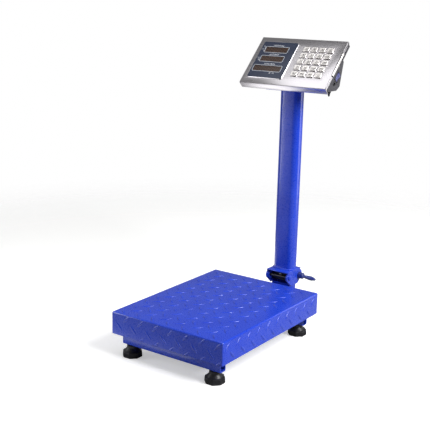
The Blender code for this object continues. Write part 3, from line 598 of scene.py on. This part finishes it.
def makePlateLip(facts):
    # a rounded bar: rings along X of a rectangle standing on edge
    x = np.array([plateLow.x + facts["short"], plateHigh.x - facts["short"]])
    outline = roundedRing(facts["thick"], facts["deep"], 0.8 * mm, 3)
    rings = [np.column_stack([np.full(len(outline), k), outline]) for k in x]
    shift = (0, plateLow.y + facts["thick"] / 2 + 0.3 * mm, plateLow.z + 1 * mm - facts["deep"] / 2)
    mesh = stackedRings("headPlateLip", np.array(rings) + np.array(shift))
    addPiece("headPlateLip", mesh, "enamel", "mast")


makePlateLip(lip)


apron = {"letDown": 2.4 * mm, "below": 6 * mm, "behind": 14 * mm}  # which points of the cover move


def deeperApron(points):  # the free edge of the cover's front apron is let down a little
    local = moved(points.astype(float), headMatrix.inverted())
    free = (local[:, 1] < apron["below"]) & (local[:, 2] < -apron["behind"])
    local[free, 2] -= apron["letDown"]
    return moved(local, headMatrix)


# a dark frame of painted shade for the gap round the side strip
stripShade = {
    "size": (9.4 * mm, 72.8 * mm),
    "middle": (77 * mm, -1 * mm),  # up the face and out of it
    "section": ((120.02 * mm, 0), (121.0 * mm, 0), (121.3 * mm, 0.3 * mm)),  # x and inset
}


def makeStripShade(facts):
    # a dark frame round the strip on the cover's right side: painted shade for the gap between strip and
    # cover
    width, height = facts["size"]
    up, out = facts["middle"]
    rows = []
    for x, inset in facts["section"]:
        ring = roundedRing(width - 2 * inset, height - 2 * inset, 1.5 * mm, 4)
        rows.append(np.column_stack([np.full(len(ring), x), ring[:, 1] + up, out - ring[:, 0]]))
    onHead("stripShadeFrame", np.array(rows), "nylon")


softened("headCover", "head_cover", "steel", 0.25 * mm, 2, 30, reshape=deeperApron)
softened("sideStrip", "side_trim", "keySteel", 0.3 * mm)
makeStripShade(stripShade)
softened("rearHousing", "rear_housing", "housing", 0.4 * mm, 2, 35)
# its blue-grey tint is a painted reflection
softened("rockerSwitch", "power_switch", "rocker", 0.3 * mm)
softened("chargingSocket", "power_socket", "nylon", 0.2 * mm)
softened("cableGland", "cable_gland", "nylon", 0.2 * mm)
softened("circuitBoard", "circuit_board", "board", 0.1 * mm)
softened("batteryBlock", "battery", "battery", 0.2 * mm)


def lettering(name, text, size, at, finish, body="mast", narrow=1.0, bold=0.0):
    curve = bpy.data.curves.new(name, "FONT")
    curve.body = text
    curve.size = size
    curve.align_x = "CENTER"
    curve.align_y = "CENTER"
    curve.extrude = 0.03 * mm  # half the ink's thickness
    curve.offset = bold
    curve.resolution_u = 3
    holder = bpy.data.objects.new(name + "Text", curve)
    scene.collection.objects.link(holder)
    bpy.context.view_layer.update()
    mesh = bpy.data.meshes.new_from_object(holder.evaluated_get(bpy.context.evaluated_depsgraph_get()))
    bpy.data.objects.remove(holder)
    merged(mesh, 0.001 * mm)
    mesh.transform(headMatrix @ Matrix.Translation(at) @ Matrix.Diagonal((narrow, 1, 1, 1)))
    addPiece(name, mesh, finish, body)


keyTexts = {  # legend, height and narrowing of each key, row by row
    "7": ("7", 9), "8": ("8", 9), "9": ("9", 9), "clear": ("C", 8.5),
    "4": ("4", 9), "5": ("5", 9), "6": ("6", 9), "add": ("ADD", 6),
    "1": ("1", 9), "2": ("2", 9), "3": ("3", 9), "tare": ("TARE", 5.6),
    "0": ("0", 9), "point": ("", 0), "store": ("STORE", 5.2), "zero": ("ZERO", 5.6),
    "m1": ("M1", 7), "m2": ("M2", 7), "m3": ("M3", 7), "light": ("", 0),
}


def makeKeys(facts):
    # each cap is a stack of rounded rectangles: flange, upright side, rounded brow and a faint dish on top
    width, height = facts["keySize"]
    top, brow = facts["keyRise"], 1.3 * mm
    section = [(-1.1 * mm, -3 * mm), (-1.1 * mm, -1.8 * mm), (0, -1.8 * mm), (0, top - brow)]
    section += quarterBend(brow, 0, top, 5)[::-1]
    section += [(brow + 1.2 * mm, top - 0.12 * mm), (5 * mm, top - 0.2 * mm)]
    for number, (key, (text, size)) in enumerate(keyTexts.items()):
        row, column = divmod(number, 4)
        x = facts["firstKey"][0] + column * facts["keyPitch"][0]
        y = facts["firstKey"][1] - row * facts["keyPitch"][1]
        body = f"key_{key}_cap"
        rings = roundedStack(width, height, 2.2 * mm, section, 5, (x, y))
        onHead(f"keyCap_{key}", rings, "keySteel", body, (f"key_{key}",), smooth=50)
        face = top - 0.14 * mm
        if text:
            narrow = 0.74 if len(text) > 2 else 0.95
            lettering(f"legend_{key}", text, size * mm, (x, y, face), "legend", body, narrow, 0.05 * mm)
        elif key == "point":
            dot = turnedRings([(1.5 * mm, face - 0.1 * mm), (1.5 * mm, face + 0.05 * mm)], 20)
            onHead("legend_point", dot + np.array([x, y, 0]), "legend", body)
        else:
            makeLamp(x, y, face, body)


def makeLamp(x, y, z, body):
    # a lamp sign: an open ring for the bulb, a stem under it, and five short rays
    strokes = []
    for angle in (20, 55, 90, 125, 160):
        a = math.radians(angle)
        start = np.array([math.cos(a), math.sin(a)]) * 3.6 * mm
        strokes.append((start, start * 1.55, 0.28 * mm))
    strokes.append((np.array([-0.9, -2.9]) * mm, np.array([0.9, -2.9]) * mm, 0.3 * mm))
    strokes.append((np.array([-0.9, -3.9]) * mm, np.array([0.9, -3.9]) * mm, 0.3 * mm))
    stacks = []
    for start, end, half in strokes:
        ahead = (end - start) / np.linalg.norm(end - start)
        beside = np.array([-ahead[1], ahead[0]]) * half
        outline = np.array([start + beside, end + beside, end - beside, start - beside])
        outline = outline + np.array([x, y])
        stacks.append([raised(outline, z - 0.1 * mm), raised(outline, z + 0.05 * mm)])
    mesh = manyStacks("legend_lightRays", moved(stacks, headMatrix))
    addPiece("legend_lightRays", mesh, "legend", body)
    ring = flatRing(2.4 * mm, 1.8 * mm, z - 0.1 * mm, z + 0.05 * mm)
    onHead("legend_lightBulb", ring + np.array([x, y, 0]), "legend", body, wrap=True)


def flatRing(outer, inner, low, high, columns=32):
    return turnedRings([(outer, low), (outer, high), (inner, high), (inner, low)], columns)


makeKeys(head)
print("keys done")

display = {
    "windows": {  # size, middle and number of digits
        "weight": ((64 * mm, 17 * mm), (-61 * mm, 108.5 * mm), 5),
        "unit_price": ((64 * mm, 17 * mm), (-61.5 * mm, 79 * mm), 5),
        "total_price": ((78 * mm, 17 * mm), (-61 * mm, 48 * mm), 6),
    },
    "labels": {  # the caption and its height up the face in mm
        "weight": ("WEIGHT (kg)", 122.2),
        "unit_price": ("UNIT PRICE", 92.5),
        "total_price": ("TOTAL PRICE", 61.5),
    },
    "signs": {  # the ring's place and the word's
        "TARE": ((-94.8 * mm, 113.5 * mm), (-100 * mm, 118 * mm)),
        "ZERO": ((-94.8 * mm, 103.5 * mm), (-100.5 * mm, 108.6 * mm)),
        "STAB": ((-97.2 * mm, 74.5 * mm), (-101 * mm, 81 * mm)),
        "AC": ((-47 * mm, 34 * mm), (-38 * mm, 34 * mm)),
    },
    "digit": (7.8 * mm, 13.6 * mm),
    "digitPitch": 12.6 * mm,
    "slant": math.tan(math.radians(9)),
}


def makePanel(facts, windows):
    # the printed overlay: a rounded sheet with a bright bevelled rim, cut away over the three windows
    softened("displayPanel", "display_panel", "slate", 0.3 * mm)
    width, height = facts["panelSize"]
    top = facts["panelTop"]
    rim = [(-0.7 * mm, 0.1 * mm), (-0.7 * mm, 0.8 * mm), (-0.2 * mm, 1.5 * mm)]
    rim += [(0.2 * mm, top + 0.1 * mm), (0.5 * mm, top + 0.1 * mm), (0.5 * mm, 0.1 * mm)]
    rings = roundedStack(width, height, 6 * mm, rim, 6, facts["panelMiddle"])
    onHead("panelRim", rings, "steel", wrap=True)
    for name, (size, middle, count) in windows["windows"].items():
        makeWindow(name, size, middle, count, top, windows)


def makeWindow(name, size, middle, count, top, facts):
    # smoked filter just below the overlay, its pale printed outline, and the unlit digits
    width, height = size
    glass = top - 0.5 * mm
    section = [(0.3 * mm, glass - 7 * mm), (0.3 * mm, glass - 0.3 * mm), (0.6 * mm, glass), (3 * mm, glass)]
    rings = roundedStack(width, height, 1.5 * mm, section, 4, middle)
    onHead(f"{name}Filter", rings, "filter", replaced=(f"display_{name}",))
    line = [(-1.5 * mm, top - 0.1 * mm), (-1.5 * mm, top + 0.06 * mm), (-0.5 * mm, top + 0.06 * mm)]
    line += [(-0.5 * mm, top - 0.1 * mm)]
    onHead(f"{name}Outline", roundedStack(width, height, 1.8 * mm, line, 5, middle), "print", wrap=True)
    text, up = facts["labels"][name]
    at = (middle[0] + 1 * mm, up * mm, top + 0.04 * mm)
    lettering(f"{name}Label", text, 5.4 * mm, at, "print", narrow=0.95, bold=0.08 * mm)
    makeDigits(name, middle, count, glass, facts)


def makeDigits(name, middle, count, z, facts):
    # seven pointed bars to a digit: three across and four upright, leaning over together
    width, height = facts["digit"]
    bar = 1.5 * mm
    places = [(0, height / 2, 0), (0, 0, 0), (0, -height / 2, 0)]
    places += [(sx * width / 2, sy * height / 4, 1) for sx in (-1, 1) for sy in (-1, 1)]
    stacks = []
    for k in range(count):
        shift = (k - (count - 1) / 2) * facts["digitPitch"]
        for x, y, upright in places:
            long = (height / 2 if upright else width) / 2 - 0.5 * mm
            half = bar / 2
            above = [(-long + half, half), (long - half, half)]
            below = [(long - half, -half), (-long + half, -half)]
            outline = np.array([(-long, 0), *above, (long, 0), *below])
            if upright:
                outline = outline[:, ::-1]
            outline = outline + np.array([x, y])
            outline[:, 0] += outline[:, 1] * facts["slant"] + shift
            outline += np.array(middle)
            stacks.append([raised(outline, z - 0.05 * mm), raised(outline, z + 0.02 * mm)])
    mesh = manyStacks(f"{name}Digits", moved(stacks, headMatrix))
    addPiece(f"{name}Digits", mesh, "segment", "mast")


def makeStatusLights(facts, top):
    # small indicator rings beside the windows, each with its word
    for word, (spot, wordAt) in facts["signs"].items():
        ring = flatRing(2.1 * mm, 1.2 * mm, top - 0.1 * mm, top + 0.08 * mm)
        name = word.lower()
        onHead(f"{name}Ring", ring + np.array([*spot, 0]), "print", wrap=True)
        dome = [(1.2 * mm, top - 0.1 * mm), (1.2 * mm, top + 0.05 * mm), (0.5 * mm, top + 0.2 * mm)]
        lens = turnedRings(dome, 20)
        onHead(f"{name}Lens", lens + np.array([*spot, 0]), "segment")
        size = 5 * mm if word == "AC" else 3.1 * mm
        lettering(f"{name}Word", word, size, (*wordAt, top + 0.04 * mm), "print", narrow=0.9, bold=0.05 * mm)


makePanel(head, display)
makeStatusLights(display, head["panelTop"])
print("display done")

# screws and the parts of the folding joint

screws = {"radius": 3.2 * mm, "height": 1.9 * mm, "slotHalf": 0.45 * mm, "slotLong": 1.9 * mm}


def makeScrew(name, place, outward, body, facts):
    # a domed head over a polar grid; the cross recess is where |x| or |y| is small near the middle
    radius, rise = facts["radius"], facts["height"]
    r = np.array([0.02, 0.14, 0.16, 0.35, 0.55, 0.6, 0.75, 0.9, 1.0, 1.0]) * radius
    angle = np.linspace(0, 2 * math.pi, 40, endpoint=False)
    x, y = r[:, None] * np.cos(angle), r[:, None] * np.sin(angle)
    z = rise * np.sqrt(np.clip(1 - (r[:, None] / (1.12 * radius)) ** 2, 0, 1)) * np.ones_like(x)
    near = np.minimum(np.abs(x), np.abs(y)) < facts["slotHalf"]
    z = np.where(near & (r[:, None] < facts["slotLong"]), z - 0.9 * mm, z)
    z[-1] = -0.3 * mm
    turn = Vector(outward).to_track_quat("Z", "Y").to_matrix().to_4x4()
    rings = moved(np.stack([x, y, z], -1), Matrix.Translation(place) @ turn)
    addPiece(name, stackedRings(name, rings), "zinc", body, (), 50)


for side, sign in (("Left", -1), ("Right", 1)):
    at = headMatrix @ Vector((sign * 118.3 * mm, 80 * mm, -10 * mm))
    makeScrew(f"sideScrew{side}", at, (sign, 0, 0), "mast", screws)

pivotLow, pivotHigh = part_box("pivot_pin")
boltLow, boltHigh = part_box("clamp_bolt")
domes = {  # each profile is (radius, height past the end) in mm
    "rodCapRight": {
        "middle": (pivotLow + pivotHigh) / 2,
        "end": pivotHigh.x,
        "profile": ((0.02, 0.4), (3.2, 0.3), (4.6, -0.4), (6.7, -2), (6.7, -3.9)),
        "finish": "enamel",
        "body": "base",
    },
    "rodCapLeft": {
        "middle": (pivotLow + pivotHigh) / 2,
        "end": pivotLow.x,
        "profile": ((0.02, 0.4), (3.2, 0.2), (4.9, -0.7), (7.1, -2.4), (7.1, -3.9)),
        "finish": "enamel",
        "body": "base",
    },
    "boltCap": {
        "middle": (boltLow + boltHigh) / 2,
        "end": boltHigh.x,
        "profile": ((0.02, 0.9), (3, 0.8), (5, 0.3), (6.7, -0.6), (6.9, -1.4)),
        # the cap takes the darker enamel, which is painted shade
        "finish": "lever",
        "body": "clamp_lever",
    },
}


def makeDome(name, facts):
    # a painted dome over the end of a rod or bolt: a profile turned about X
    end, middle = facts["end"], facts["middle"]
    outward = math.copysign(1, end)
    turn = Matrix(((0, 0, outward), (0, 1, 0), (-outward, 0, 0))).to_4x4()
    place = Matrix.Translation((end, middle.y, middle.z)) @ turn
    profile = [(radius * mm, height * mm) for radius, height in facts["profile"]]
    rings = moved(turnedRings(profile, 40)[::-1], place)
    addPiece(name, stackedRings(name, rings), facts["finish"], facts["body"], (), 50)


# a black pad that paints the shade inside the joint's opening
pad = {
    "size": (50 * mm, 18 * mm),
    "thick": 2.6 * mm,
    "top": 106.2 * mm,
    "post": 199.8 * mm,  # the front face of the bracket's post
    "screw": 102.5 * mm,
}


def makePaintedShadePad(facts):
    # a black pad behind the rod, screwed to the post: painted shade for the dark inside of the joint's
    # opening; its outline drawn in a little at the front edge
    size, thick, post = np.array(facts["size"]), facts["thick"], facts["post"]
    edge = 0.4 * mm
    outline = roundedRing(*size, 1.5 * mm, 4)
    rows = []
    for depth, inset in ((0, 0), (thick - edge, 0), (thick, edge)):
        ring = outline * (1 - 2 * inset / size)
        height = ring[:, 1] + facts["top"] - size[1] / 2
        rows.append(np.column_stack([ring[:, 0], np.full(len(ring), post - depth), height]))
    addPiece("paintedShadePad", stackedRings("paintedShadePad", np.array(rows)), "nylon", "base")
    makeScrew("paintedShadePadScrew", (0, post - thick, facts["screw"]), (0, -1, 0), "base", screws)


for name, facts in domes.items():
    makeDome(name, facts)
makePaintedShadePad(pad)
print("screws and joint parts done")

# floor and light

studio = {
    "floor": "f2f2f1",
    "floorSeenByPieces": 0.38,  # the floor's brightness in reflections and bounced light
    "floorGlow": 0.5,  # keeps the shadows pale
    "fadeFrom": 0.9,  # metres from the scale at which the floor starts to fade into the background
    "fadeTo": 1.9,
    "background": 1.0,
    "surroundings": (0.06, 0.3),  # to the right and to the left
}


def makeFloor(facts):
    mesh = meshOf("floor", [(-2, -2, 0), (2, -2, 0), (2, 2, 0), (-2, 2, 0)], [[0, 1, 2, 3]])
    material, tree, shader, place = startMaterial("paperFloor", {"Roughness": 0.9})
    grain = speckle(tree, place, 8 * mm)
    seen = addNode(tree, "LightPath").outputs["Is Camera Ray"]
    paper = blend(tree, grain, fromHex("efefee"), fromHex(facts["floor"]))
    bounced = (*[facts["floorSeenByPieces"]] * 3, 1)
    dull = addNode(tree, "Mix", {"data_type": "RGBA", 6: bounced}, {0: seen, 7: paper})
    tree.links.new(dull.outputs[2], shader.inputs["Base Color"])
    glow = addNode(tree, "Math", {"operation": "MULTIPLY", 1: facts["floorGlow"]}, {0: seen})
    tree.links.new(glow.outputs[0], shader.inputs["Emission Strength"])
    tree.links.new(paper, shader.inputs["Emission Color"])
    reach = addNode(tree, "VectorMath", {"operation": "LENGTH"}, {0: place})
    fading = {"interpolation_type": "SMOOTHSTEP", "To Min": 1.0, "To Max": 0.0}
    fading.update({"From Min": facts["fadeFrom"], "From Max": facts["fadeTo"]})
    fade = addNode(tree, "MapRange", fading, {"Value": reach.outputs["Value"]})
    tree.links.new(fade.outputs["Result"], shader.inputs["Alpha"])
    mesh.materials.append(material)
    made = bpy.data.objects.new("floor", mesh)
    scene.collection.objects.link(made)


def makeWorld(facts):
    # white to the camera; to the pieces a dim room, brighter on the left
    world = bpy.data.worlds.new("studio")
    world.use_nodes = True
    scene.world = world
    tree = world.node_tree
    direction = addNode(tree, "TexCoord").outputs["Generated"]
    split = addNode(tree, "SeparateXYZ", None, {"Vector": direction})
    right, left = facts["surroundings"]
    sides = {"From Min": -0.9, "From Max": 0.3, "To Min": left, "To Max": right}
    ramp = addNode(tree, "MapRange", sides, {"Value": split.outputs["X"]})
    seen = addNode(tree, "LightPath").outputs["Is Camera Ray"]
    level = addNode(tree, "Mix", {3: facts["background"]}, {0: seen, 2: ramp.outputs["Result"]})
    tree.links.new(level.outputs[0], tree.nodes["Background"].inputs["Strength"])
    tree.nodes["Background"].inputs["Color"].default_value = (1, 1, 1, 1)


lights = {  # share is the brightness of a white surface that faces the lamp squarely
    "keySoftbox": {"at": (1.85, -0.05, 1.65), "to": (0, 0, 0.1), "size": (1.3, 1.3), "share": 1.33},
    "topSoftbox": {"at": (-0.35, -0.4, 1.8), "to": (-0.35, -0.4, 0.5), "size": (0.95, 1.0), "share": 0.3},
    "backSoftbox": {"at": (0.5, 0.7, 2.2), "to": (0, 0, 0.1), "size": (1.0, 1.0), "share": 0.1},
    "leftStrip": {"at": (-0.76, -0.66, 0.33), "to": (0, 0.2, 0.33), "size": (0.3, 0.5), "share": 0.18},
    "rightStrip": {"at": (0.68, 1.1, 0.42), "to": (0, 0.2, 0.3), "size": (0.25, 0.8), "share": 0.14},
    "floorPanel": {"at": (-0.42, 0.22, 0.005), "to": (-0.42, 0.22, 1), "size": (0.4, 0.5), "share": 0.1},
    "floorStrip": {
        "at": (-0.24, -0.335, 0.005),
        "to": (-0.24, -0.335, 1),
        "size": (0.5, 0.06),
        "share": 0.01,
    },
}


def makeSoftbox(name, facts):
    made = bpy.data.objects.new(name, bpy.data.lights.new(name, "AREA"))
    made.data.shape = "RECTANGLE"
    made.data.size, made.data.size_y = facts["size"]
    made.location = facts["at"]
    aim = Vector(facts["to"]) - Vector(facts["at"])
    made.data.energy = facts["share"] * (math.pi * aim.length) ** 2
    made.rotation_euler = aim.to_track_quat("-Z", "Y").to_euler()
    scene.collection.objects.link(made)


makeFloor(studio)
makeWorld(studio)
for name, facts in lights.items():
    makeSoftbox(name, facts)
scene.view_settings.view_transform = "Standard"
print("studio done")
